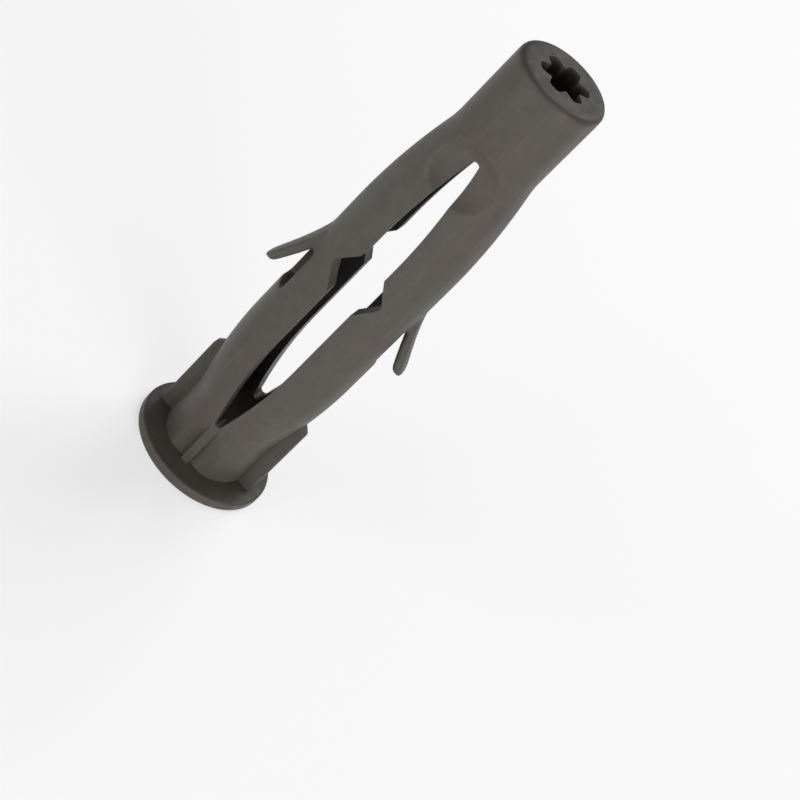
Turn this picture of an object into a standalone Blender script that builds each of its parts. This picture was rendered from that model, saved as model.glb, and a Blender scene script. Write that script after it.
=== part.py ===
"""Nylon wall plug for an 8 mm hole, moulded in one piece, standing on its collar with the tip up.

Metres, +Z up along the plug's axis, with the origin at the centre of the collar's underside. The
mould opens along Y, so the slit, its notches and the hinge hollows all run along Y. The plug looks
the same after half a turn about Z.
"""
import math

import bmesh
import bpy
from mathutils import Matrix, Vector

MM = 0.001

# Body, its wall round the bore, collar and tip
PLUG_LENGTH = 47.0 * MM
BODY_RADIUS = 4.0 * MM
WALL_THICKNESS = 1.5 * MM
TIP_ROUNDING = 0.55 * MM
COLLAR_RADIUS = 6.2 * MM
COLLAR_THICKNESS = 0.95 * MM
COLLAR_EDGE = 0.15 * MM

# Slit between the two legs, and how far each leg is bowed out
SOLID_TIP = 8.2 * MM
SLIT_HEAD = PLUG_LENGTH - SOLID_TIP
SLIT_FOOT = 5.7 * MM
SLIT_WIDTH = 0.5 * MM
LEG_BOW = 1.05 * MM
FOOT_BEND_LENGTH = 9.0 * MM
HEAD_BEND_LENGTH = 11.0 * MM
BEND_EASE = 0.8 * MM

# Screw channel: a plain bore through the legs, and a six-lobed one in the tip
BORE_RADIUS = BODY_RADIUS - WALL_THICKNESS
MOUTH_WIDENING = 0.6 * MM
MOUTH_RADIUS = BORE_RADIUS + MOUTH_WIDENING
MOUTH_DEPTH = 0.8 * MM
STAR_STEP_IN = 0.2 * MM
STAR_OUTER_RADIUS = BORE_RADIUS - STAR_STEP_IN
STAR_TOOTH_HEIGHT = 0.8 * MM
STAR_INNER_RADIUS = STAR_OUTER_RADIUS - STAR_TOOTH_HEIGHT
STAR_BELOW_SLIT_HEAD = 0.8 * MM
STAR_LENGTH = SOLID_TIP + STAR_BELOW_SLIT_HEAD
STAR_LOBES = 6
STAR_TOOTH_SHARE = 0.75
PILOT_RADIUS = STAR_INNER_RADIUS / 2

# Notch in each edge of the slit, where a leg folds
NOTCH_SHARE_OF_SLIT = 0.565
NOTCH_HEIGHT = SLIT_FOOT + NOTCH_SHARE_OF_SLIT * (SLIT_HEAD - SLIT_FOOT)
NOTCH_HALF_LENGTH = 2.15 * MM
NOTCH_DEPTH = 1.3 * MM
NOTCH_FLOOR = 0.35 * MM

# Hollows across the front and back at the two ends of the slit
HEAD_HOLLOW_HALF_LENGTH = 2.55 * MM
HEAD_HOLLOW_HEIGHT = SLIT_HEAD - HEAD_HOLLOW_HALF_LENGTH / 2
HEAD_HOLLOW_DEPTH = 1.02 * MM
FOOT_HOLLOW_HALF_LENGTH = 3.2 * MM
FOOT_HOLLOW_DROP = 0.3 * MM
FOOT_HOLLOW_HEIGHT = SLIT_FOOT - FOOT_HOLLOW_DROP - FOOT_HOLLOW_HALF_LENGTH
FOOT_HOLLOW_DEPTH = 0.5 * MM
FOOT_RIB_WIDTH = 0.75 * MM
HOLLOW_RUNOUT = 0.05 * MM

# Barbs: a tongue of each leg's wall, bent out of its pocket and pointing at the collar
BARB_ABOVE_NOTCH = 0.6 * MM
BARB_ROOT_HEIGHT = NOTCH_HEIGHT + BARB_ABOVE_NOTCH
BARB_LENGTH = 6.4 * MM
BARB_WIDTH = 2.0 * MM
BARB_OFFSET = 1.0 * MM
BARB_ROOT_THICKNESS = 0.95 * MM
BARB_END_THICKNESS = 0.8 * MM
BARB_END_SHARE = 0.25
BARB_SIDE_SHARE = 0.7
BARB_REACH = 2.15 * MM
BARB_BEND = 1.25
BARB_SUNK = 0.06 * MM
POCKET_BELOW_ROOT = 2.4 * MM
POCKET_TOP = BARB_ROOT_HEIGHT - POCKET_BELOW_ROOT
POCKET_DEPTH = 1.0 * MM
POCKET_CLEARANCE = 0.5 * MM

# Fins that stop the plug from turning in its hole
FIN_STAND_OUT = 1.3 * MM
FIN_REACH = BODY_RADIUS + FIN_STAND_OUT
FIN_TOP = 9.4 * MM
FIN_CHAMFER = 0.7 * MM
FIN_THICKNESS = 1.0 * MM

# Fineness of the solid
TURN_STEPS = 64
SLICES_PER_BEND = 9
STAR_STEPS = 96
HOLLOW_STEPS = 20
END_STEPS = 12
OVERRUN = 1.0 * MM

NYLON_COLOUR = (0.095, 0.088, 0.082, 1.0)
NYLON_ROUGHNESS = 0.5


def clear_scene():
    for old in list(bpy.data.objects):
        bpy.data.objects.remove(old, do_unlink=True)


def new_object(name, bm):
    """Links a new object that holds this bmesh, with its faces pointing out."""
    bmesh.ops.recalc_face_normals(bm, faces=bm.faces)
    mesh = bpy.data.meshes.new(name)
    bm.to_mesh(mesh)
    bm.free()
    made = bpy.data.objects.new(name, mesh)
    bpy.context.collection.objects.link(made)
    return made


def turned(name, profile, steps=TURN_STEPS):
    """A closed profile of (radius, height) points turned about Z."""
    bm = bmesh.new()
    corners = [bm.verts.new((radius, 0.0, height)) for radius, height in profile]
    edges = [bm.edges.new(pair) for pair in zip(corners, corners[1:] + corners[:1])]
    bmesh.ops.spin(
        bm,
        geom=corners + edges,
        axis=(0.0, 0.0, 1.0),
        cent=(0.0, 0.0, 0.0),
        angle=math.tau,
        steps=steps,
        use_merge=True,
    )
    return new_object(name, bm)


def prism(name, outline, start, along):
    """A closed outline of points, moved to start and extruded by the vector along."""
    bm = bmesh.new()
    corners = [bm.verts.new(Vector(start) + Vector(point)) for point in outline]
    face = bm.faces.new(corners)
    extruded = bmesh.ops.extrude_face_region(bm, geom=[face])
    moved = [part for part in extruded["geom"] if isinstance(part, bmesh.types.BMVert)]
    bmesh.ops.translate(bm, verts=moved, vec=Vector(along))
    return new_object(name, bm)


def join(body, tool, operation):
    """Applies a Boolean of the tool to the body, and removes the tool."""
    tool.hide_render = True
    tool.display_type = "WIRE"
    modifier = body.modifiers.new(tool.name, "BOOLEAN")
    modifier.operation = operation
    modifier.solver = "EXACT"
    modifier.object = tool
    with bpy.context.temp_override(object=body, active_object=body):
        bpy.ops.object.modifier_apply(modifier=modifier.name)
    bpy.data.objects.remove(tool, do_unlink=True)


def arc(centre, radius, start, end, steps):
    """Points (a, b) on an arc between two angles in degrees, both ends included."""
    points = []
    for step in range(steps + 1):
        angle = math.radians(start + (end - start) * step / steps)
        points.append((centre[0] + radius * math.cos(angle), centre[1] + radius * math.sin(angle)))
    return points


def plug_profile():
    """Half section of the plug as turned: collar, body and rounded tip outside, channel inside.

    The tip has only a pilot channel here, which lies inside the star that is cut later.
    """
    channel_step = PLUG_LENGTH - STAR_LENGTH
    cone_height = BORE_RADIUS - PILOT_RADIUS
    tip_centre = (BODY_RADIUS - TIP_ROUNDING, PLUG_LENGTH - TIP_ROUNDING)
    foot_centre = (COLLAR_RADIUS - COLLAR_EDGE, COLLAR_EDGE)
    brim_centre = (COLLAR_RADIUS - COLLAR_EDGE, COLLAR_THICKNESS - COLLAR_EDGE)
    profile = [(MOUTH_RADIUS, 0.0)]
    profile += arc(foot_centre, COLLAR_EDGE, -90, 0, 3)
    profile += arc(brim_centre, COLLAR_EDGE, 0, 90, 3)
    profile.append((BODY_RADIUS, COLLAR_THICKNESS))
    profile += arc(tip_centre, TIP_ROUNDING, 0, 90, 6)
    profile.append((PILOT_RADIUS, PLUG_LENGTH))
    profile.append((PILOT_RADIUS, channel_step + cone_height))
    profile.append((BORE_RADIUS, channel_step))
    profile.append((BORE_RADIUS, MOUTH_DEPTH))
    return profile


def star_outline():
    """Outline across the tip's channel: narrow lobes, with a round tooth between each two.

    A quarter of a step keeps its corners clear of the turned edges, where they would leave slivers.
    """
    points = []
    for step in range(STAR_STEPS):
        turn = (step + 0.25) / STAR_STEPS
        from_tooth = abs((turn * STAR_LOBES + 0.5) % 1.0 - 0.5) * 2.0
        rise = min(1.0, from_tooth / STAR_TOOTH_SHARE)
        share = rise * rise * (3.0 - 2.0 * rise)
        radius = STAR_INNER_RADIUS + (STAR_OUTER_RADIUS - STAR_INNER_RADIUS) * share
        points.append((radius * math.cos(turn * math.tau), radius * math.sin(turn * math.tau), 0.0))
    return points


def slit_outline():
    """Upright slot with round ends, in the XZ plane."""
    radius = SLIT_WIDTH / 2
    head = arc((0.0, SLIT_HEAD - radius), radius, 0, 180, END_STEPS)
    foot = arc((0.0, SLIT_FOOT + radius), radius, 180, 360, END_STEPS)
    return [(x, 0.0, z) for x, z in head + foot]


def notch_outline():
    """Lozenge that widens the slit on both sides, in the XZ plane."""
    edge = SLIT_WIDTH / 2
    deep = edge + NOTCH_DEPTH
    floor = NOTCH_FLOOR / 2
    right = [
        (edge, -NOTCH_HALF_LENGTH),
        (deep, -floor),
        (deep, floor),
        (edge, NOTCH_HALF_LENGTH),
    ]
    left = [(-x, -z) for x, z in right]
    return [(x, 0.0, NOTCH_HEIGHT + z) for x, z in right + left]


def cut_channel(plug):
    start = (0.0, 0.0, PLUG_LENGTH - STAR_LENGTH)
    star = prism("star", star_outline(), start, (0.0, 0.0, STAR_LENGTH + OVERRUN))
    join(plug, star, "DIFFERENCE")


def cut_slit(plug):
    depth = BODY_RADIUS + OVERRUN
    start = (0.0, -depth, 0.0)
    along = (0.0, 2.0 * depth, 0.0)
    join(plug, prism("slit", slit_outline(), start, along), "DIFFERENCE")
    join(plug, prism("notch", notch_outline(), start, along), "DIFFERENCE")


def hollow_cutter(name, side, height, half_length, depth, stop, low_x, high_x):
    """Cutter along X, round on its inner side, that hollows one side of the body, down to the stop."""
    radius = (half_length**2 + depth**2) / (2.0 * depth)
    reach = math.degrees(math.acos((radius - depth - HOLLOW_RUNOUT) / radius))
    lowest = math.degrees(math.asin(max(-1.0, (stop - height) / radius)))
    floor = arc((-radius, 0.0), radius, max(-reach, lowest), reach, HOLLOW_STEPS)
    floor = [(side * (BODY_RADIUS - depth - out), height + up) for out, up in floor]
    outside = side * (BODY_RADIUS + OVERRUN)
    corners = [(outside, floor[-1][1]), (outside, floor[0][1])]
    outline = [(low_x, y, z) for y, z in floor + corners]
    return prism(name, outline, (0.0, 0.0, 0.0), (high_x - low_x, 0.0, 0.0))


def cut_hollows(plug):
    """Thins the body across the ends of the slit, and leaves a rib in line with the slit's foot."""
    head = (HEAD_HOLLOW_HEIGHT, HEAD_HOLLOW_HALF_LENGTH, HEAD_HOLLOW_DEPTH, SLIT_FOOT)
    foot = (FOOT_HOLLOW_HEIGHT, FOOT_HOLLOW_HALF_LENGTH, FOOT_HOLLOW_DEPTH, COLLAR_THICKNESS)
    rib = FOOT_RIB_WIDTH / 2
    wide = BODY_RADIUS
    for side in (-1, 1):
        join(plug, hollow_cutter("head_hollow", side, *head, -wide, wide), "DIFFERENCE")
        join(plug, hollow_cutter("foot_hollow", side, *foot, -wide, -rib), "DIFFERENCE")
        join(plug, hollow_cutter("foot_hollow", side, *foot, rib, wide), "DIFFERENCE")


def half_turn(thing):
    """Turns an object's mesh by 180 degrees about the plug's axis."""
    thing.data.transform(Matrix.Rotation(math.pi, 4, "Z"))
    return thing


def barb_pocket():
    """Box cut into the +X leg, which the barb would fold back into."""
    half_width = BARB_WIDTH / 2 + POCKET_CLEARANCE
    low = BARB_ROOT_HEIGHT - BARB_LENGTH - POCKET_CLEARANCE
    outline = [
        (0.0, BARB_OFFSET - half_width, low),
        (0.0, BARB_OFFSET + half_width, low),
        (0.0, BARB_OFFSET + half_width, POCKET_TOP),
        (0.0, BARB_OFFSET - half_width, POCKET_TOP),
    ]
    floor = BODY_RADIUS - POCKET_DEPTH
    return prism("pocket", outline, (floor, 0.0, 0.0), (POCKET_DEPTH + OVERRUN, 0.0, 0.0))


def end_share(from_end, radius):
    """Share of its full size that a barb has at this distance from its end, which is round."""
    if from_end >= radius:
        return 1.0
    return max(BARB_END_SHARE, math.sqrt(1.0 - (1.0 - from_end / radius) ** 2))


def barb_section(height):
    """Outline of the +X leg's barb at a height: round as the leg at its root, flat at its end."""
    share = min(1.0, max(0.0, (BARB_ROOT_HEIGHT - height) / BARB_LENGTH))
    from_end = (1.0 - share) * BARB_LENGTH
    bent = BARB_REACH * share**BARB_BEND - BARB_SUNK
    thickness = BARB_ROOT_THICKNESS + (BARB_END_THICKNESS - BARB_ROOT_THICKNESS) * share
    half_width = BARB_WIDTH / 2 * end_share(from_end, BARB_WIDTH / 2)
    across = (-1.0, -0.85, -0.4, 0.0, 0.4, 0.85, 1.0)
    middle = BODY_RADIUS + bent - thickness / 2
    outer, inner = [], []
    for step in across:
        y = BARB_OFFSET + step * half_width
        round_wall = math.sqrt(BODY_RADIUS**2 - y**2) - BODY_RADIUS
        x = middle + round_wall * (1.0 - share)
        half_thickness = thickness / 2 * end_share(from_end, BARB_END_THICKNESS / 2)
        if abs(step) == 1.0:
            half_thickness *= BARB_SIDE_SHARE
        outer.append((x + half_thickness, y, height))
        inner.append((x - half_thickness, y, height))
    return outer + inner[::-1]


def barb():
    """The +X leg's barb, as a skin over its sections from the root to the round free end."""
    bm = bmesh.new()
    root_overlap = BARB_ROOT_THICKNESS
    shares = [step / 10 for step in range(9)] + [0.85, 0.9, 0.94, 0.97, 0.99, 1.0]
    heights = [BARB_ROOT_HEIGHT + root_overlap] + [BARB_ROOT_HEIGHT - BARB_LENGTH * s for s in shares]
    rings = []
    for height in heights:
        rings.append([bm.verts.new(point) for point in barb_section(height)])
    for upper, lower in zip(rings, rings[1:]):
        count = len(upper)
        for i in range(count):
            bm.faces.new((upper[i], upper[(i + 1) % count], lower[(i + 1) % count], lower[i]))
    bm.faces.new(rings[0])
    bm.faces.new(rings[-1])
    return new_object("barb", bm)


def add_barbs(plug):
    for turn in (lambda thing: thing, half_turn):
        join(plug, turn(barb_pocket()), "DIFFERENCE")
        join(plug, turn(barb()), "UNION")


def bend_share(into_slit, bend_length):
    """How much of a bend is done at this distance into the slit from its end, from a soft start."""
    eased = into_slit
    if into_slit < BEND_EASE:
        eased = max(0.0, into_slit + BEND_EASE) ** 2 / (4.0 * BEND_EASE)
    return min(1.0, eased / bend_length)


def bow_at(height):
    """How far a leg stands out at this height: steepest at the slit's ends, and level between."""
    from_foot = bend_share(height - SLIT_FOOT, FOOT_BEND_LENGTH)
    from_head = bend_share(SLIT_HEAD - height, HEAD_BEND_LENGTH)
    share = min(from_foot, from_head)
    return LEG_BOW * share * (2.0 - share)


def bow_legs(plug):
    """Slices the legs level by level where they bend, then moves each level outwards."""
    bm = bmesh.new()
    bm.from_mesh(plug.data)
    levels = []
    for step in range(SLICES_PER_BEND + 1):
        share = step / SLICES_PER_BEND
        levels.append(SLIT_FOOT - BEND_EASE + (FOOT_BEND_LENGTH + BEND_EASE) * share)
        levels.append(SLIT_HEAD + BEND_EASE - (HEAD_BEND_LENGTH + BEND_EASE) * share)
    for level in levels:
        everything = bm.verts[:] + bm.edges[:] + bm.faces[:]
        bmesh.ops.bisect_plane(
            bm, geom=everything, dist=1e-7, plane_co=(0.0, 0.0, level), plane_no=(0.0, 0.0, 1.0)
        )
    for vertex in bm.verts:
        outward = max(-1.0, min(1.0, vertex.co.x / (SLIT_WIDTH / 2)))
        vertex.co.x += outward * bow_at(vertex.co.z)
    bm.to_mesh(plug.data)
    bm.free()


def add_fins(plug):
    """A fin on each side, from the collar up to a chamfered top."""
    root = (BODY_RADIUS + BORE_RADIUS) / 2
    low = COLLAR_THICKNESS / 2
    outline = [
        (root, 0.0, low),
        (FIN_REACH, 0.0, low),
        (FIN_REACH, 0.0, FIN_TOP - FIN_CHAMFER),
        (FIN_REACH - FIN_CHAMFER, 0.0, FIN_TOP),
        (root, 0.0, FIN_TOP),
    ]
    for turn in (lambda thing: thing, half_turn):
        fin = prism("fin", outline, (0.0, -FIN_THICKNESS / 2, 0.0), (0.0, FIN_THICKNESS, 0.0))
        join(plug, turn(fin), "UNION")


def nylon():
    material = bpy.data.materials.new("dark grey nylon")
    material.use_nodes = True
    shader = material.node_tree.nodes["Principled BSDF"]
    shader.inputs["Base Color"].default_value = NYLON_COLOUR
    shader.inputs["Roughness"].default_value = NYLON_ROUGHNESS
    shader.inputs["Metallic"].default_value = 0.0
    return material


def build():
    clear_scene()
    plug = turned("wall_plug", plug_profile())
    cut_channel(plug)
    cut_hollows(plug)
    cut_slit(plug)
    add_barbs(plug)
    bow_legs(plug)
    add_fins(plug)
    plug.data.materials.clear()
    plug.data.materials.append(nylon())
    plug.data.shade_smooth()
    plug.data.set_sharp_from_angle(angle=math.radians(32))


build()
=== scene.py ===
import math

import bmesh
import bpy
from bpy.props import FloatProperty, FloatVectorProperty, IntProperty, PointerProperty
from mathutils import Matrix, Vector


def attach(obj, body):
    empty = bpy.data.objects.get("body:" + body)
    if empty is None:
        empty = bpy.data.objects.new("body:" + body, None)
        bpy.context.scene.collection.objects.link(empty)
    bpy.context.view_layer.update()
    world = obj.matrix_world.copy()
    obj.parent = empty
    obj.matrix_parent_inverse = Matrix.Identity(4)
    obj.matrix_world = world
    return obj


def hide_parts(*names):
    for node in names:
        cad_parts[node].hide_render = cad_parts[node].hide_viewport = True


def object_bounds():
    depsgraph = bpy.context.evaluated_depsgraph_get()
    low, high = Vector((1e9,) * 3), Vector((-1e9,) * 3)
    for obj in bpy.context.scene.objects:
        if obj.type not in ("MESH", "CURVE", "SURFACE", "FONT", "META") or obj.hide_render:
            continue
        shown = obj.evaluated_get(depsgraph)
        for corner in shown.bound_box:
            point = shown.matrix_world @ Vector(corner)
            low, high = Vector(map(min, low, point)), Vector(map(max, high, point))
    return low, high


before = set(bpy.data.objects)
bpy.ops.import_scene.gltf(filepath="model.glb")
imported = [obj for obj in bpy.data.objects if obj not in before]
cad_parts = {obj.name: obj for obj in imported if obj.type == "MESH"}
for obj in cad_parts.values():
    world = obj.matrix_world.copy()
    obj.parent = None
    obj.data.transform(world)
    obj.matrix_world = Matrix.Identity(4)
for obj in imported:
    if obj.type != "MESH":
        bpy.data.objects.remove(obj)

bl_info = {
    "name": "Moulded wall plug",
    "version": (1, 0, 0),
    "blender": (4, 5, 0),
    "location": "3D View > Sidebar > Wall Plug",
    "description": "A nylon wall plug with bowed legs, barbs and a collar, and a small studio to show it in",
    "category": "Object",
}

MM = 0.001
CAD_LOW, CAD_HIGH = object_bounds()
PLUG_NODE = "wall_plug"

# How far a cutter goes past what it cuts
OVERRUN = 1.0 * MM

# Scales of the nylon's noise textures, whose features are about one metre over the scale
DRIFT_SCALE = 210.0
MOTTLE_SCALE = 800.0
FLOW_SCALE = 1500.0
SCUFF_SCALE = 4200.0
GLOSS_SCALE = 900.0
GRAIN_SCALE = 5200.0

# Noise values between which the nylon's features come and go
MOTTLE_RANGE = (0.3, 0.7)
FLOW_RANGE = (0.45, 0.75)
SCUFF_RANGE = (0.68, 0.74)
GLOSS_RANGE = (0.3, 0.7)

# How much longer than wide the flow lines and scuffs are
STRETCH = 20.0

# Below the tip's face, the depths at which the painted shade of the channel's inside starts and is full
PAINTED_SHADE_START = 0.1 * MM
PAINTED_SHADE_FULL = 0.6 * MM


def factor(name, description, default, most=1.0):
    """A plain number between nothing and the most it may be."""
    return FloatProperty(
        name=name,
        description=description,
        default=default,
        min=0.0,
        max=most,
        precision=3,
        subtype="FACTOR",
    )


def length(name, description, default_mm):
    """A size of the plug, given in millimetres and kept in metres."""
    return FloatProperty(
        name=name,
        description=description,
        default=default_mm * MM,
        min=0.0,
        precision=5,
        subtype="DISTANCE",
        unit="LENGTH",
    )


class PlugSizes(bpy.types.PropertyGroup):
    """Sizes of the plug, in the order in which it is made."""

    plug_length: length("Length", "From the collar's underside to the tip", (CAD_HIGH.z - CAD_LOW.z) / MM)
    body_radius: length("Body radius", "Radius of the round body", 4.0)
    tip_rounding: length("Tip rounding", "Radius of the tip's rounded edge", 0.5)
    collar_radius: length("Collar radius", "Radius of the collar", (CAD_HIGH.y - CAD_LOW.y) / 2 / MM)
    collar_thickness: length("Collar thickness", "Thickness of the collar", 0.95)
    collar_edge: length("Collar edge", "Radius of the collar's rounded edges", 0.22)
    bore_radius: length("Bore radius", "Radius of the channel between the legs", 2.5)
    mouth_radius: length("Mouth radius", "Radius of the channel where it opens in the collar", 3.1)
    mouth_depth: length("Mouth depth", "Depth of the cone in the channel's mouth", 0.8)
    star_inner: length("Tooth radius", "From the axis to a tooth of the channel in the tip", 1.5)
    star_outer: length("Lobe radius", "From the axis to a lobe of the channel in the tip", 2.25)
    star_lobes: IntProperty(
        name="Lobes",
        description="Number of lobes of the channel in the tip",
        default=6,
        min=3,
        max=12,
    )
    tooth_share: factor("Tooth share", "How much of the way between two lobes a tooth takes up", 0.75)
    star_drop: length("Star drop", "From the slit's head down to where the tip's channel begins", 0.8)
    solid_tip: length("Solid tip", "Length of the tip beyond the slit", 8.2)
    slit_foot: length("Slit foot", "Height of the slit's lower end", 5.7)
    slit_width: length("Slit width", "Width of the slit before the legs are bowed", 0.5)
    leg_bow: length("Bow", "How far each leg stands out from where it was cut", 1.05)
    foot_bend: length("Lower bend", "Length of the bend from the slit's foot", 9.0)
    head_bend: length("Upper bend", "Length of the bend from the slit's head", 11.0)
    bend_ease: length("Bend ease", "Length over which a bend starts, each way from the slit's end", 0.8)
    notch_share: factor("Notch place", "How far up the slit its notches lie", 0.565)
    notch_half_length: length("Notch half length", "Half the length of a notch along the slit", 2.15)
    notch_depth: length("Notch depth", "Depth of a notch from the slit's edge", 1.3)
    notch_rounding: length("Notch rounding", "Radius of a notch's blunted point", 0.3)
    head_hollow_half_length: length("Upper hollow half length", "Half the length of the upper hollow", 2.55)
    head_hollow_depth: length("Upper hollow depth", "Depth of the hollow at the slit's head", 1.02)
    foot_hollow_half_length: length("Lower hollow half length", "Half the length of the lower hollow", 3.2)
    foot_hollow_drop: length("Lower hollow drop", "From the slit's foot down to the lower hollow", 0.3)
    foot_hollow_depth: length("Lower hollow depth", "Depth of the hollow at the slit's foot", 0.5)
    foot_rib_width: length("Rib width", "Width of the rib between the two lower hollows", 0.75)
    rib_edge: length("Rib edge", "Radius of a rib's rounded edges", 0.08)
    barb_rise: length("Barb rise", "From the notches' points up to a barb's root", 0.6)
    barb_length: length("Barb length", "Height of a barb from its root to its free end", 6.4)
    barb_width: length("Barb width", "Width of a barb", 2.0)
    barb_root: length("Barb thickness at root", "Thickness of a barb where it leaves the leg", 0.95)
    barb_end: length("Barb thickness at end", "Thickness of a barb at its free end", 0.8)
    barb_rounding: length("Barb rounding", "Radius of a barb's rounded edges", 0.25)
    barb_offset: length("Barb offset", "From the middle of the leg to the middle of its barb", 1.0)
    barb_reach: length("Barb reach", "How far a barb's free end stands out of its leg", 2.15)
    barb_bend: factor("Barb bend", "How late a barb bends: 1 is a straight barb", 1.25, 3.0)
    barb_sunk: length("Barb sunk", "How far a barb's root lies below the leg's wall", 0.03)
    pocket_depth: length("Pocket depth", "Depth of the pocket behind a barb", 1.0)
    pocket_drop: length("Pocket drop", "From a barb's root down to the top of its pocket", 2.4)
    pocket_clearance: length("Pocket clearance", "Room round a barb in its pocket", 0.5)
    fin_reach: length("Fin reach", "From the axis to the outer edge of a fin", 5.3)
    fin_top: length("Fin top", "Height of a fin's top", 9.4)
    fin_chamfer: length("Fin chamfer", "Chamfer on a fin's outer top corner", 0.7)
    fin_thickness: length("Fin thickness", "Thickness of a fin", 1.0)
    fin_edge: length("Fin edge", "Radius of a fin's rounded edges", 0.14)
    edge_softness: length("Edge softness", "Size of the grid that rounds off the moulded edges", 0.17)
    smoothing: IntProperty(
        name="Smoothing",
        description="Passes that even out the rounded edges",
        default=4,
        min=0,
        max=20,
    )


class PlugFinish(bpy.types.PropertyGroup):
    """Colours and surface of the moulded nylon."""

    nylon: FloatVectorProperty(
        name="Nylon",
        description="Colour of the nylon",
        default=(0.1055, 0.0945, 0.0805),
        size=3,
        min=0.0,
        max=1.0,
        subtype="COLOR",
    )
    drift: factor("Drift", "How far the colour drifts between warm and greenish", 0.035)
    mottle: factor("Mottle", "How much lighter and darker the colour is over a millimetre", 0.06)
    flow: factor("Flow lines", "How much lighter the lines are that the nylon left as it flowed along", 0.07)
    scuff: factor("Scuffs", "How much lighter the fine scratches along the plug are", 0.16)
    # Painted shade: the colour of the channel's walls and the pockets' floors is darkened by this much
    painted_channel_shade: factor("Inside shade", "How much darker the channel's inside is than the outside", 0.45)
    roughness: factor("Roughness", "Roughness of the moulded surface", 0.5)
    gloss_change: factor("Gloss change", "How far the roughness varies each way", 0.07)
    grain: length("Grain", "Height of the fine grain that the mould leaves", 0.006)
    seam: length("Seam", "Height of the line where the mould's halves meet", 0.015)
    seam_width: length("Seam width", "Width of the line where the mould's halves meet", 0.16)


class StudioSettings(bpy.types.PropertyGroup):
    """Floor, light and camera."""

    floor_colour: FloatVectorProperty(
        name="Floor",
        description="Colour of the floor",
        default=(0.80, 0.80, 0.80),
        size=3,
        min=0.0,
        max=1.0,
        subtype="COLOR",
    )
    sky_strength: FloatProperty(
        name="Soft light",
        description="Strength of the even light from all round",
        default=0.13,
        min=0.0,
    )
    floor_lift: FloatProperty(
        name="Floor brightness",
        description="How much brighter a camera sees the floor than the lamps make it",
        default=0.55,
        min=0.0,
    )
    backdrop: factor("Backdrop", "Brightness of the distance as a camera sees it", 0.95)
    fade_start: length("Fade start", "How far from the plug the floor begins to fade into the backdrop", 60)
    fade_end: length("Fade end", "How far from the plug the floor has become the backdrop", 260)
    azimuth: FloatProperty(
        name="Camera azimuth",
        description="How far the camera stands round to the right of the front",
        default=math.radians(4.8),
        subtype="ANGLE",
        unit="ROTATION",
    )
    elevation: FloatProperty(
        name="Camera elevation",
        description="How far the camera stands above the horizon",
        default=math.radians(31.9),
        subtype="ANGLE",
        unit="ROTATION",
    )
    roll: FloatProperty(
        name="Camera roll",
        description="How far the camera is rolled, so that the plug lies across the picture",
        default=math.radians(44.7),
        subtype="ANGLE",
        unit="ROTATION",
    )
    distance: length("Camera distance", "From the middle of the plug to the camera", 191.8)
    lens: FloatProperty(
        name="Lens",
        description="Focal length of the camera",
        default=111.5,
        min=1.0,
        subtype="DISTANCE_CAMERA",
        unit="CAMERA",
    )
    aside: FloatVectorProperty(
        name="Place in picture",
        description="Where the middle of the plug lies, in picture widths right of and above the centre",
        default=(-0.0363, 0.1543),
        size=2,
    )


# Modelling


def finished(name, bm):
    """Links a new object that holds this bmesh, with its faces pointing out."""
    bmesh.ops.recalc_face_normals(bm, faces=bm.faces)
    mesh = bpy.data.meshes.new(name)
    bm.to_mesh(mesh)
    bm.free()
    made = bpy.data.objects.new(name, mesh)
    bpy.context.scene.collection.objects.link(made)
    return made


def turned(name, profile, steps=160):
    """A closed half section of (radius, height) points, spun about the plug's axis."""
    bm = bmesh.new()
    corners = [bm.verts.new((radius, 0.0, height)) for radius, height in profile]
    edges = [bm.edges.new(pair) for pair in zip(corners, corners[1:] + corners[:1])]
    bmesh.ops.spin(
        bm,
        geom=corners + edges,
        axis=(0.0, 0.0, 1.0),
        cent=(0.0, 0.0, 0.0),
        angle=math.tau,
        steps=steps,
        use_merge=True,
    )
    return finished(name, bm)


def pull(bm, along):
    """Extrudes the bmesh's only face into a solid."""
    extruded = bmesh.ops.extrude_face_region(bm, geom=bm.faces[:])
    moved = [part for part in extruded["geom"] if isinstance(part, bmesh.types.BMVert)]
    bmesh.ops.translate(bm, verts=moved, vec=along)


def block(low, high):
    """A bmesh of a box between two corners."""
    low, high = Vector(low), Vector(high)
    size = high - low
    bm = bmesh.new()
    place = Matrix.Translation((low + high) / 2) @ Matrix.Diagonal((*size, 1.0))
    bmesh.ops.create_cube(bm, size=1.0, matrix=place)
    return bm


def through(bm):
    """The edges that run along X."""
    return [edge for edge in bm.edges if abs(edge.verts[0].co.x - edge.verts[1].co.x) > 0.1 * MM]


def bevel(bm, edges, offset, segments):
    """Rounds off edges, or chamfers them where it has one segment."""
    bmesh.ops.bevel(
        bm,
        geom=edges,
        offset=offset,
        offset_type="OFFSET",
        segments=segments,
        profile=0.5,
        affect="EDGES",
        material=-1,
    )


def slice_through(bm, points, normal):
    """Cuts every face along planes through these points."""
    for point in points:
        everything = bm.verts[:] + bm.edges[:] + bm.faces[:]
        bmesh.ops.bisect_plane(bm, geom=everything, dist=1e-7, plane_co=point, plane_no=normal)


def combine(body, tool, operation, solver="EXACT"):
    """Applies a Boolean of the tool to the body, and removes the tool."""
    modifier = body.modifiers.new("combine", "BOOLEAN")
    modifier.operation = operation
    modifier.solver = solver
    modifier.object = tool
    with bpy.context.temp_override(object=body, active_object=body):
        bpy.ops.object.modifier_apply(modifier=modifier.name)
    bpy.data.objects.remove(tool, do_unlink=True)


def half_turn(thing):
    """Turns an object's mesh by half a turn about the plug's axis."""
    thing.data.transform(Matrix.Rotation(math.pi, 4, "Z"))
    return thing


def rounded(centre, radius, start, end, steps=6):
    """Points on an arc of a half section, between two angles in degrees."""
    points = []
    for step in range(steps + 1):
        angle = math.radians(start + (end - start) * step / steps)
        points.append((centre[0] + radius * math.cos(angle), centre[1] + radius * math.sin(angle)))
    return points


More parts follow.
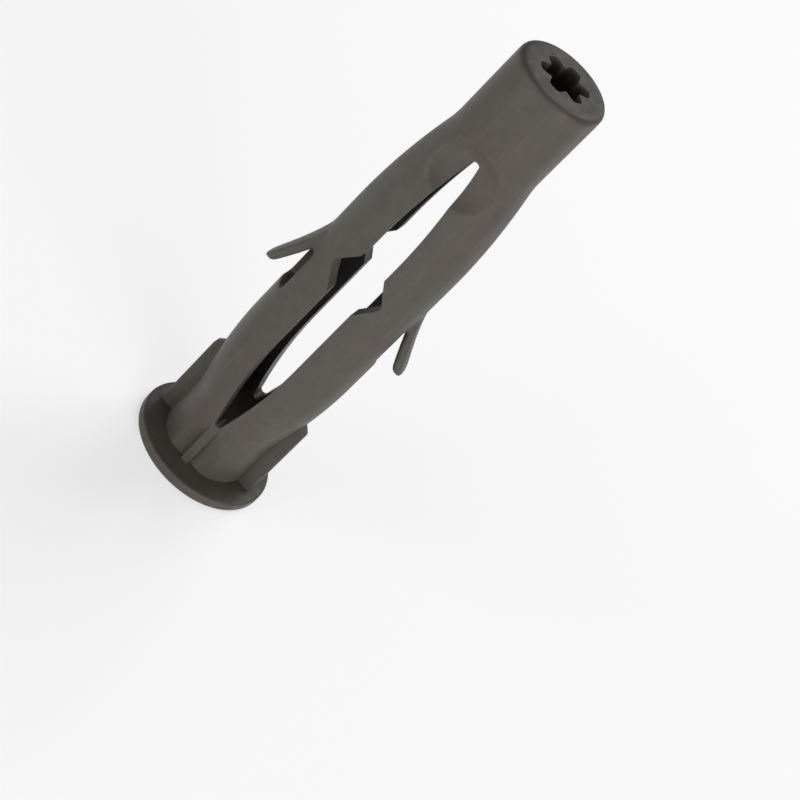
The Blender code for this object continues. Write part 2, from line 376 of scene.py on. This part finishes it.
def body_blank(sizes):
    """The round body with its channel, before anything is cut out of its wall."""
    top = sizes.plug_length
    pilot = sizes.star_inner / 2
    cone = sizes.bore_radius - pilot
    corner = (sizes.body_radius - sizes.tip_rounding, top - sizes.tip_rounding)
    profile = [(sizes.mouth_radius, 0.0), (sizes.body_radius, 0.0)]
    profile += rounded(corner, sizes.tip_rounding, 0, 90)
    profile.append((pilot, top))
    profile.append((pilot, star_foot(sizes) + cone))
    profile.append((sizes.bore_radius, star_foot(sizes)))
    profile.append((sizes.bore_radius, sizes.mouth_depth))
    return turned("moulding", profile)


def star_foot(sizes):
    """Height at which the bore ends and the star-shaped channel of the tip begins."""
    return slit_head(sizes) - sizes.star_drop


def collar_ring(sizes):
    """The collar, from inside the body's wall out to its rounded rim."""
    edge = sizes.collar_edge
    rim = sizes.collar_radius - edge
    inside = (sizes.bore_radius + sizes.body_radius) / 2
    profile = [(inside, 0.0)]
    profile += rounded((rim, edge), edge, -90, 0)
    profile += rounded((rim, sizes.collar_thickness - edge), edge, 0, 90)
    profile.append((inside, sizes.collar_thickness))
    return turned("collar", profile)


def star_cutter(sizes):
    """Cuts the channel in the tip: narrow lobes, with a round tooth between each two."""
    bm = bmesh.new()
    bmesh.ops.create_circle(bm, cap_ends=True, segments=240, radius=1.0)
    for vertex in bm.verts:
        turn = math.atan2(vertex.co.y, vertex.co.x) / math.tau
        from_tooth = abs((turn * sizes.star_lobes + 0.5) % 1.0 - 0.5) * 2.0
        rise = min(1.0, from_tooth / sizes.tooth_share)
        share = rise * rise * (3.0 - 2.0 * rise)
        vertex.co *= sizes.star_inner + (sizes.star_outer - sizes.star_inner) * share
        vertex.co.z = star_foot(sizes)
    pull(bm, (0.0, 0.0, sizes.plug_length + OVERRUN - star_foot(sizes)))
    return finished("star", bm)


def slit_cutter(sizes):
    """Cuts the slit from front to back: an upright slot with round ends."""
    depth = sizes.body_radius + OVERRUN
    radius = sizes.slit_width / 2
    bm = bmesh.new()
    bmesh.ops.create_circle(bm, cap_ends=True, segments=64, radius=radius)
    for vertex in bm.verts:
        up = vertex.co.y
        centre = slit_head(sizes) - radius if up > 0.0 else sizes.slit_foot + radius
        vertex.co = (vertex.co.x, -depth, centre + up)
    pull(bm, (0.0, 2.0 * depth, 0.0))
    return finished("slit", bm)


def slit_head(sizes):
    """Height of the slit's upper end."""
    return sizes.plug_length - sizes.solid_tip


def notch_height(sizes):
    """Height of the notches' points."""
    return sizes.slit_foot + sizes.notch_share * (slit_head(sizes) - sizes.slit_foot)


def barb_root_height(sizes):
    """Height at which a barb leaves its leg, just above the notches' points."""
    return notch_height(sizes) + sizes.barb_rise


def notch_cutter(sizes):
    """Cuts the notches in the slit's edges: a lozenge from front to back with blunted points."""
    depth = sizes.body_radius + OVERRUN
    slit = sizes.slit_width / 2
    lost_by_blunting = sizes.notch_rounding / 3
    half_width = slit + sizes.notch_depth + lost_by_blunting
    half_length = sizes.notch_half_length * half_width / (half_width - slit)
    bm = bmesh.new()
    bmesh.ops.create_circle(bm, cap_ends=True, segments=4, radius=1.0)
    for vertex in bm.verts:
        across, up = vertex.co.x, vertex.co.y
        vertex.co = (across * half_width, -depth, notch_height(sizes) + up * half_length)
    pull(bm, (0.0, 2.0 * depth, 0.0))
    points = [edge for edge in bm.edges if min(abs(corner.co.x) for corner in edge.verts) > slit]
    bevel(bm, points, sizes.notch_rounding, 3)
    return finished("notch", bm)


def hollow_cutter(sizes, side, height, half_length, depth):
    """A cylinder lying across the plug, which hollows its front or its back."""
    radius = (half_length**2 + depth**2) / (2.0 * depth)
    middle = (0.0, side * (sizes.body_radius - depth + radius), height)
    bm = bmesh.new()
    bmesh.ops.create_cone(
        bm,
        cap_ends=True,
        segments=256,
        radius1=radius,
        radius2=radius,
        depth=2.0 * sizes.body_radius,
        matrix=Matrix.Translation(middle) @ Matrix.Rotation(math.pi / 2, 4, "Y"),
    )
    return finished("hollow", bm)


def cut_hollows(plug, sizes):
    """Thins the wall across the front and back at both ends of the slit."""
    head_height = slit_head(sizes) - sizes.head_hollow_half_length / 2
    head = (head_height, sizes.head_hollow_half_length, sizes.head_hollow_depth)
    foot_top = sizes.slit_foot - sizes.foot_hollow_drop
    foot_height = foot_top - sizes.foot_hollow_half_length
    foot = (foot_height, sizes.foot_hollow_half_length, sizes.foot_hollow_depth)
    for side in (-1, 1):
        combine(plug, hollow_cutter(sizes, side, *head), "DIFFERENCE")
        combine(plug, hollow_cutter(sizes, side, *foot), "DIFFERENCE")


def pocket_cutter(sizes):
    """Cuts the pocket behind the +X leg's barb."""
    root = barb_root_height(sizes)
    clearance = sizes.pocket_clearance
    half_width = sizes.barb_width / 2 + clearance
    floor = sizes.body_radius - sizes.pocket_depth
    low = (floor, sizes.barb_offset - half_width, root - sizes.barb_length - clearance)
    high = (sizes.body_radius + OVERRUN, sizes.barb_offset + half_width, root - sizes.pocket_drop)
    return finished("pocket", block(low, high))


def barb(sizes):
    """The +X leg's barb: a tongue with a round end, round as the leg at its root, and bent out."""
    root = barb_root_height(sizes)
    end = root - sizes.barb_length
    half_width = sizes.barb_width / 2
    radius = sizes.body_radius
    low = (radius - sizes.barb_root, sizes.barb_offset - half_width, end)
    root_overlap = sizes.barb_end
    high = (radius, sizes.barb_offset + half_width, root + root_overlap)
    bm = block(low, high)
    end_corners = [edge for edge in through(bm) if edge.verts[0].co.z < root]
    end_rounding = half_width * 0.92
    bevel(bm, end_corners, end_rounding, 12)
    upright = through(bm)
    bevel(bm, [edge for edge in bm.edges if edge not in upright], sizes.barb_rounding, 4)
    levels = 24
    heights = [end + sizes.barb_length * level / levels for level in range(1, levels + 1)]
    slice_through(bm, [(0.0, 0.0, height) for height in heights], (0.0, 0.0, 1.0))
    columns = [sizes.barb_offset + half_width * across for across in (-0.75, -0.4, 0.0, 0.4, 0.75)]
    slice_through(bm, [(0.0, column, 0.0) for column in columns], (0.0, 1.0, 0.0))
    for vertex in bm.verts:
        along = min(1.0, max(0.0, (root - vertex.co.z) / sizes.barb_length))
        inward = (radius - vertex.co.x) / sizes.barb_root
        round_wall = math.sqrt(radius**2 - vertex.co.y**2) - radius
        vertex.co.x += sizes.barb_reach * along**sizes.barb_bend - sizes.barb_sunk
        vertex.co.x += round_wall * (1.0 - along)
        vertex.co.x += inward * (sizes.barb_root - sizes.barb_end) * along
    return finished("barb", bm)


def bend_share(into_slit, bend_length, ease):
    """How much of a bend is done at this distance into the slit from its end, from a soft start."""
    eased = into_slit
    if into_slit < ease:
        eased = max(0.0, into_slit + ease) ** 2 / (4.0 * ease)
    return min(1.0, eased / bend_length)


def bow_at(sizes, height):
    """How far a leg stands out at this height: steepest at the slit's ends, and level between."""
    from_foot = bend_share(height - sizes.slit_foot, sizes.foot_bend, sizes.bend_ease)
    from_head = bend_share(slit_head(sizes) - height, sizes.head_bend, sizes.bend_ease)
    share = min(from_foot, from_head)
    return sizes.leg_bow * share * (2.0 - share)


def bowed(thing, sizes):
    """Slices an object where the legs bend, then moves each level outwards from the slit's middle."""
    slices = 26
    ease = sizes.bend_ease
    edge = sizes.slit_width / 2
    levels = []
    for step in range(slices + 1):
        share = step / slices
        levels.append((0.0, 0.0, sizes.slit_foot - ease + (sizes.foot_bend + ease) * share))
        levels.append((0.0, 0.0, slit_head(sizes) + ease - (sizes.head_bend + ease) * share))
    bm = bmesh.new()
    bm.from_mesh(thing.data)
    slice_through(bm, levels, (0.0, 0.0, 1.0))
    slice_through(bm, [(-edge, 0.0, 0.0), (edge, 0.0, 0.0)], (1.0, 0.0, 0.0))
    for vertex in bm.verts:
        outward = max(-1.0, min(1.0, vertex.co.x / edge))
        vertex.co.x += outward * bow_at(sizes, vertex.co.z)
    bm.to_mesh(thing.data)
    bm.free()
    return thing


def fin(sizes):
    """The +X fin, with the outer corner of its top chamfered."""
    half = sizes.fin_thickness / 2
    root = (sizes.body_radius + sizes.bore_radius) / 2
    bm = block((root, -half, sizes.collar_thickness / 2), (sizes.fin_reach, half, sizes.fin_top))
    outside = (root + sizes.fin_reach) / 2
    outer = [edge for edge in bm.edges if all(end.co.x > outside for end in edge.verts)]
    corner = [edge for edge in outer if all(end.co.z > sizes.fin_top / 2 for end in edge.verts)]
    bevel(bm, corner, sizes.fin_chamfer, 1)
    rims = [edge for edge in bm.edges if any(end.co.x > outside for end in edge.verts)]
    bevel(bm, rims, sizes.fin_edge, 3)
    return finished("fin", bm)


def rib(sizes):
    """The rib that is left at the front of the lower hollow, in line with the slit."""
    half = sizes.foot_rib_width / 2
    outside = -sizes.body_radius
    inside = outside + 2.0 * sizes.foot_hollow_depth
    low = (-half, outside, sizes.collar_thickness / 2)
    high = (half, inside, sizes.slit_foot - sizes.foot_hollow_drop)
    bm = block(low, high)
    middle = (outside + inside) / 2
    front = [edge for edge in bm.edges if all(end.co.y < middle for end in edge.verts)]
    bevel(bm, front, sizes.rib_edge, 3)
    return finished("rib", bm)


def soften(plug, sizes):
    """Rounds off every edge as the mould does, and evens the result."""
    grid = plug.modifiers.new("soft edges", "REMESH")
    grid.mode = "VOXEL"
    grid.voxel_size = sizes.edge_softness
    grid.use_smooth_shade = True
    evened = plug.modifiers.new("even", "SMOOTH")
    evened.factor = 0.5
    evened.iterations = sizes.smoothing
    with bpy.context.temp_override(object=plug, active_object=plug):
        bpy.ops.object.modifier_apply(modifier=grid.name)
        bpy.ops.object.modifier_apply(modifier=evened.name)


def even_shading(plug):
    """Shades flat faces flat and rounded edges round, with creases where pieces meet."""
    plug.data.shade_smooth()
    plug.data.set_sharp_from_angle(angle=math.radians(35))
    weighted = plug.modifiers.new("even shading", "WEIGHTED_NORMAL")
    weighted.keep_sharp = True
    with bpy.context.temp_override(object=plug, active_object=plug):
        bpy.ops.object.modifier_apply(modifier=weighted.name)


# Finish and studio


def node(tree, kind, place, **settings):
    """A new node with its settings, placed in the tree."""
    made = tree.nodes.new(kind)
    made.location = place
    for name, value in settings.items():
        setattr(made, name, value)
    return made


def noise(tree, place, vector, scale, detail):
    """Output of a noise texture."""
    made = node(tree, "ShaderNodeTexNoise", place)
    made.inputs["Scale"].default_value = scale
    made.inputs["Detail"].default_value = detail
    tree.links.new(vector, made.inputs["Vector"])
    return made.outputs["Fac"]


def remap(tree, place, value, source, target):
    """Output of a smooth step from one range of values to another."""
    made = node(tree, "ShaderNodeMapRange", place, interpolation_type="SMOOTHSTEP")
    made.inputs["From Min"].default_value, made.inputs["From Max"].default_value = source
    made.inputs["To Min"].default_value, made.inputs["To Max"].default_value = target
    tree.links.new(value, made.inputs["Value"])
    return made.outputs["Result"]


def compute(tree, place, operation, *values):
    """Output of a math node whose inputs are sockets or plain numbers."""
    made = node(tree, "ShaderNodeMath", place, operation=operation)
    for value, socket in zip(values, made.inputs):
        if isinstance(value, (int, float)):
            socket.default_value = value
        else:
            tree.links.new(value, socket)
    return made.outputs["Value"]


def raised(tree, place, height, distance, normal=None):
    """Output of a bump node, on top of another where one is given."""
    made = node(tree, "ShaderNodeBump", place)
    made.inputs["Strength"].default_value = 1.0
    made.inputs["Distance"].default_value = distance
    tree.links.new(height, made.inputs["Height"])
    if normal:
        tree.links.new(normal, made.inputs["Normal"])
    return made.outputs["Normal"]


def seam_line(tree, vector, width, radius):
    """Height of the mould's parting line, which runs up the plug's two sides."""
    parts = node(tree, "ShaderNodeSeparateXYZ", (-1200, -900))
    tree.links.new(vector, parts.inputs["Vector"])
    from_seam = compute(tree, (-1000, -900), "ABSOLUTE", parts.outputs["Y"])
    ridge = remap(tree, (-800, -900), from_seam, (0.0, width / 2), (1.0, 0.0))
    from_axis = compute(tree, (-1000, -1100), "ABSOLUTE", parts.outputs["X"])
    outside = remap(tree, (-800, -1100), from_axis, (radius * 0.9, radius * 0.98), (0.0, 1.0))
    return compute(tree, (-600, -1000), "MULTIPLY", ridge, outside)


def painted_channel_shade_mask(tree, vector, sizes):
    """Mask of the painted shade: 1 on the walls of the channel and in the pockets, and 0 on the outside of
    the bowed legs.
    """
    parts = node(tree, "ShaderNodeSeparateXYZ", (-2600, 900))
    tree.links.new(vector, parts.inputs["Vector"])
    height = parts.outputs["Z"]
    past_foot = compute(tree, (-2400, 1000), "SUBTRACT", height, sizes.slit_foot)
    past_foot = compute(tree, (-2200, 1000), "DIVIDE", past_foot, sizes.foot_bend)
    below_head = compute(tree, (-2400, 800), "SUBTRACT", slit_head(sizes), height)
    below_head = compute(tree, (-2200, 800), "DIVIDE", below_head, sizes.head_bend)
    bend = compute(tree, (-2000, 900), "MINIMUM", past_foot, below_head)
    bend = compute(tree, (-1900, 1000), "MAXIMUM", bend, 0.0)
    bend = compute(tree, (-1800, 900), "MINIMUM", bend, 1.0)
    rest = compute(tree, (-1600, 1000), "SUBTRACT", 2.0, bend)
    bow = compute(tree, (-1500, 900), "MULTIPLY", bend, rest)
    bow = compute(tree, (-1400, 1000), "MULTIPLY", bow, sizes.leg_bow)
    across = compute(tree, (-2400, 600), "ABSOLUTE", parts.outputs["X"])
    across = compute(tree, (-1300, 900), "SUBTRACT", across, bow)
    across = compute(tree, (-1200, 1000), "MAXIMUM", across, 0.0)
    aside = compute(tree, (-2400, 400), "ABSOLUTE", parts.outputs["Y"])
    squares = [compute(tree, (-1000, 1000), "MULTIPLY", part, part) for part in (across, aside)]
    radius = compute(tree, (-900, 900), "ADD", *squares)
    radius = compute(tree, (-800, 1000), "SQRT", radius)
    floor = sizes.body_radius - sizes.pocket_depth
    fade = (floor - PAINTED_SHADE_START, (floor + sizes.body_radius) / 2)
    within = remap(tree, (-600, 1000), radius, fade, (1.0, 0.0))
    behind = remap(tree, (-600, 800), aside, (sizes.bore_radius, floor), (1.0, 0.0))
    fade = (sizes.plug_length - PAINTED_SHADE_FULL, sizes.plug_length - PAINTED_SHADE_START)
    deep = remap(tree, (-600, 600), height, fade, (1.0, 0.0))
    mask = compute(tree, (-400, 900), "MULTIPLY", within, behind)
    return compute(tree, (-250, 900), "MULTIPLY", mask, deep)


def nylon_material(finish, sizes):
    """Dark grey moulded nylon: mottled, with flow lines, fine scuffs, grain and the mould's seam.

    The walls of the channel and the floors of the pockets carry painted shade: their colour is darker than
    the outside.
    """
    material = bpy.data.materials.new("moulded nylon")
    material.use_nodes = True
    tree = material.node_tree
    link = tree.links.new
    shader = tree.nodes["Principled BSDF"]
    shader.inputs["Metallic"].default_value = 0.0
    shader.inputs["Specular IOR Level"].default_value = 0.35
    place = node(tree, "ShaderNodeTexCoord", (-1500, 0)).outputs["Object"]
    stretched = node(tree, "ShaderNodeMapping", (-1300, 0))
    stretched.inputs["Scale"].default_value = (1.0, 1.0, 1.0 / STRETCH)
    link(place, stretched.inputs["Vector"])
    lengthwise = stretched.outputs["Vector"]

    drift = noise(tree, (-1000, 600), place, DRIFT_SCALE, 2.0)
    red, green, blue = finish.nylon
    tones = node(tree, "ShaderNodeValToRGB", (-800, 600))
    ends = (
        (0.35, (red * (1.0 + finish.drift), green * (1.0 - finish.drift), blue, 1.0)),
        (0.65, (red * (1.0 - finish.drift), green * (1.0 + finish.drift), blue, 1.0)),
    )
    for element, (position, colour) in zip(tones.color_ramp.elements, ends):
        element.position = position
        element.color = colour
    link(drift, tones.inputs["Fac"])

    cloudy = noise(tree, (-1000, 300), place, MOTTLE_SCALE, 4.0)
    darker, lighter = 1.0 - finish.mottle, 1.0 + finish.mottle
    mottle = remap(tree, (-800, 300), cloudy, MOTTLE_RANGE, (darker, lighter))
    flowing = noise(tree, (-1000, 100), lengthwise, FLOW_SCALE, 3.0)
    flow = remap(tree, (-800, 100), flowing, FLOW_RANGE, (1.0, 1.0 + finish.flow))
    scratched = noise(tree, (-1000, -100), lengthwise, SCUFF_SCALE, 1.0)
    scuff = remap(tree, (-800, -100), scratched, SCUFF_RANGE, (1.0, 1.0 + finish.scuff))
    brightness = compute(tree, (-560, 200), "MULTIPLY", mottle, flow)
    brightness = compute(tree, (-400, 200), "MULTIPLY", brightness, scuff)
    # Painted shade: the colour is darkened on the channel's walls and the pockets' floors
    inside = painted_channel_shade_mask(tree, place, sizes)
    shade = compute(tree, (-100, 900), "MULTIPLY", inside, finish.painted_channel_shade)
    unshaded = compute(tree, (50, 900), "SUBTRACT", 1.0, shade)
    brightness = compute(tree, (-300, 300), "MULTIPLY", brightness, unshaded)
    colour = node(tree, "ShaderNodeVectorMath", (-240, 400), operation="SCALE")
    link(tones.outputs["Color"], colour.inputs["Vector"])
    link(brightness, colour.inputs["Scale"])
    link(colour.outputs["Vector"], shader.inputs["Base Color"])

    gloss = noise(tree, (-1000, -350), lengthwise, GLOSS_SCALE, 3.0)
    dull = finish.roughness + finish.gloss_change
    shiny = finish.roughness - finish.gloss_change
    roughness = remap(tree, (-800, -350), gloss, GLOSS_RANGE, (dull, shiny))
    link(roughness, shader.inputs["Roughness"])

    grain = noise(tree, (-1000, -600), place, GRAIN_SCALE, 2.0)
    normal = raised(tree, (-600, -600), grain, finish.grain)
    seam = seam_line(tree, place, finish.seam_width, sizes.body_radius)
    link(raised(tree, (-300, -600), seam, finish.seam, normal), shader.inputs["Normal"])
    return material


def seen_directly(tree):
    """Output that is 1 where a camera sees a surface, or its reflection, or sees it through another."""
    ray = node(tree, "ShaderNodeLightPath", (-900, -200)).outputs
    seen = compute(tree, (-700, -200), "MAXIMUM", ray["Is Camera Ray"], ray["Is Glossy Ray"])
    return compute(tree, (-540, -200), "MAXIMUM", seen, ray["Is Transmission Ray"])


def floor_material(studio):
    """Pale matt floor, a little brighter to a camera than it is, which fades into the backdrop."""
    material = bpy.data.materials.new("pale floor")
    material.use_nodes = True
    tree = material.node_tree
    link = tree.links.new
    shader = tree.nodes["Principled BSDF"]
    shader.inputs["Base Color"].default_value = (*studio.floor_colour, 1.0)
    shader.inputs["Roughness"].default_value = 0.9
    shader.inputs["Specular IOR Level"].default_value = 0.1
    shader.inputs["Emission Color"].default_value = (1.0, 1.0, 1.0, 1.0)
    seen = seen_directly(tree)
    lift = compute(tree, (-360, -200), "MULTIPLY", seen, studio.floor_lift)
    link(lift, shader.inputs["Emission Strength"])

    place = node(tree, "ShaderNodeTexCoord", (-900, -500))
    away = node(tree, "ShaderNodeVectorMath", (-700, -500), operation="LENGTH")
    link(place.outputs["Object"], away.inputs[0])
    fade = (studio.fade_start, studio.fade_end)
    faded = remap(tree, (-540, -500), away.outputs["Value"], fade, (0.0, 1.0))
    distant = node(tree, "ShaderNodeEmission", (0, -500))
    distant.inputs["Strength"].default_value = studio.backdrop
    blend = node(tree, "ShaderNodeMixShader", (300, 0))
    link(compute(tree, (-200, -500), "MULTIPLY", faded, seen), blend.inputs["Fac"])
    link(shader.outputs["BSDF"], blend.inputs[1])
    link(distant.outputs["Emission"], blend.inputs[2])
    link(blend.outputs["Shader"], tree.nodes["Material Output"].inputs["Surface"])
    return material


def direction(azimuth, elevation):
    """Unit vector away from the plug, at these angles round from the front and above the horizon."""
    level = math.cos(elevation)
    return Vector((math.sin(azimuth) * level, -math.cos(azimuth) * level, math.sin(elevation)))


# Operators


class WALLPLUG_OT_moulding(bpy.types.Operator):
    """Make the plug: its body, legs, barbs, fins and collar, in one moulding"""

    bl_idname = "wall_plug.moulding"
    bl_label = "Make the moulding"

    def execute(self, context):
        sizes = context.scene.plug_sizes
        plug = body_blank(sizes)
        cut_hollows(plug, sizes)
        combine(plug, pocket_cutter(sizes), "DIFFERENCE")
        combine(plug, half_turn(pocket_cutter(sizes)), "DIFFERENCE")
        combine(plug, barb(sizes), "UNION")
        combine(plug, half_turn(barb(sizes)), "UNION")
        bowed(plug, sizes)
        soften(plug, sizes)
        # The slit and what joins the body come after the softening, so that their edges stay crisp.
        combine(plug, bowed(slit_cutter(sizes), sizes), "DIFFERENCE", "MANIFOLD")
        combine(plug, bowed(notch_cutter(sizes), sizes), "DIFFERENCE", "MANIFOLD")
        combine(plug, star_cutter(sizes), "DIFFERENCE", "MANIFOLD")
        combine(plug, collar_ring(sizes), "UNION", "MANIFOLD")
        for made in (fin, rib):
            combine(plug, made(sizes), "UNION", "MANIFOLD")
            combine(plug, half_turn(made(sizes)), "UNION", "MANIFOLD")
        even_shading(plug)
        plug.data.materials.clear()
        plug.data.materials.append(nylon_material(context.scene.plug_finish, sizes))
        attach(plug, "root")
        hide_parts(PLUG_NODE)
        return {"FINISHED"}


class WALLPLUG_OT_studio(bpy.types.Operator):
    """Make the pale floor, the soft lights and the camera"""

    bl_idname = "wall_plug.studio"
    bl_label = "Make the studio"

    def execute(self, context):
        studio = context.scene.plug_studio
        middle = Vector((0.0, 0.0, (CAD_LOW.z + CAD_HIGH.z) / 2))
        self.floor(studio)
        self.sky(studio)
        self.lamp("front right softbox", middle, azimuth=50, elevation=2, away=0.36, power=0.94)
        self.lamp("front left softbox", middle, azimuth=-36, elevation=2, away=0.36, power=0.66)
        self.lamp("back softbox", middle, azimuth=168, elevation=44, away=0.40, power=0.53)
        self.camera(studio, middle)
        context.scene.view_settings.view_transform = "Standard"
        return {"FINISHED"}

    def floor(self, studio):
        bm = bmesh.new()
        bmesh.ops.create_grid(bm, x_segments=1, y_segments=1, size=1.5)
        floor = finished("floor", bm)
        floor.data.materials.append(floor_material(studio))

    def sky(self, studio):
        """Even light from all round, behind a backdrop that only the camera sees."""
        world = bpy.data.worlds.new("studio")
        world.use_nodes = True
        tree = world.node_tree
        background = tree.nodes["Background"]
        background.inputs["Color"].default_value = (1.0, 1.0, 1.0, 1.0)
        ray = node(tree, "ShaderNodeLightPath", (-600, 0))
        extra = studio.backdrop - studio.sky_strength
        seen = compute(tree, (-400, 0), "MULTIPLY", ray.outputs["Is Camera Ray"], extra)
        strength = compute(tree, (-200, 0), "ADD", seen, studio.sky_strength)
        tree.links.new(strength, background.inputs["Strength"])
        bpy.context.scene.world = world

    def lamp(self, name, target, azimuth, elevation, away, power, size=0.26):
        """A square softbox that faces the plug, placed by its angle round from the front."""
        toward = direction(math.radians(azimuth), math.radians(elevation))
        light = bpy.data.lights.new(name, "AREA")
        light.shape = "SQUARE"
        light.size = size
        light.energy = power
        lamp = bpy.data.objects.new(name, light)
        lamp.location = target + toward * away
        lamp.rotation_euler = toward.to_track_quat("Z", "Y").to_euler()
        bpy.context.scene.collection.objects.link(lamp)

    def camera(self, studio, middle):
        """A camera that is rolled, then turned a little so that the plug lies aside of the centre."""
        back = direction(studio.azimuth, studio.elevation)
        level = Vector((math.cos(studio.azimuth), math.sin(studio.azimuth), 0.0))
        upright = back.cross(level)
        right = level * math.cos(studio.roll) + upright * math.sin(studio.roll)
        up = upright * math.cos(studio.roll) - level * math.sin(studio.roll)
        data = bpy.data.cameras.new("camera")
        data.lens = studio.lens
        data.sensor_width = 36.0
        data.clip_start = 0.01
        data.clip_end = 10.0
        place = middle + back * studio.distance
        width = studio.distance * data.sensor_width / studio.lens
        aim = middle - right * studio.aside[0] * width - up * studio.aside[1] * width
        away = (place - aim).normalized()
        right = up.cross(away).normalized()
        up = away.cross(right)
        camera = bpy.data.objects.new("camera", data)
        camera.matrix_world = Matrix.Translation(place) @ Matrix((right, up, away)).transposed().to_4x4()
        bpy.context.scene.collection.objects.link(camera)
        bpy.context.scene.camera = camera


class WALLPLUG_PT_panel(bpy.types.Panel):
    """Sizes, finish and studio of the wall plug"""

    bl_idname = "WALLPLUG_PT_panel"
    bl_label = "Wall Plug"
    bl_space_type = "VIEW_3D"
    bl_region_type = "UI"
    bl_category = "Wall Plug"

    def draw(self, context):
        groups = (
            ("Sizes", context.scene.plug_sizes),
            ("Finish", context.scene.plug_finish),
            ("Studio", context.scene.plug_studio),
        )
        for title, group in groups:
            box = self.layout.box()
            box.label(text=title)
            for name in group.bl_rna.properties.keys():
                if name not in ("name", "rna_type"):
                    box.prop(group, name)
        self.layout.operator(WALLPLUG_OT_moulding.bl_idname)
        self.layout.operator(WALLPLUG_OT_studio.bl_idname)


CLASSES = (
    PlugSizes,
    PlugFinish,
    StudioSettings,
    WALLPLUG_OT_moulding,
    WALLPLUG_OT_studio,
    WALLPLUG_PT_panel,
)


def register():
    for made in CLASSES:
        bpy.utils.register_class(made)
    bpy.types.Scene.plug_sizes = PointerProperty(type=PlugSizes)
    bpy.types.Scene.plug_finish = PointerProperty(type=PlugFinish)
    bpy.types.Scene.plug_studio = PointerProperty(type=StudioSettings)


def unregister():
    del bpy.types.Scene.plug_studio
    del bpy.types.Scene.plug_finish
    del bpy.types.Scene.plug_sizes
    for made in reversed(CLASSES):
        bpy.utils.unregister_class(made)


def main():
    register()
    bpy.ops.wall_plug.moulding()
    bpy.ops.wall_plug.studio()


if __name__ == "__main__":
    main()
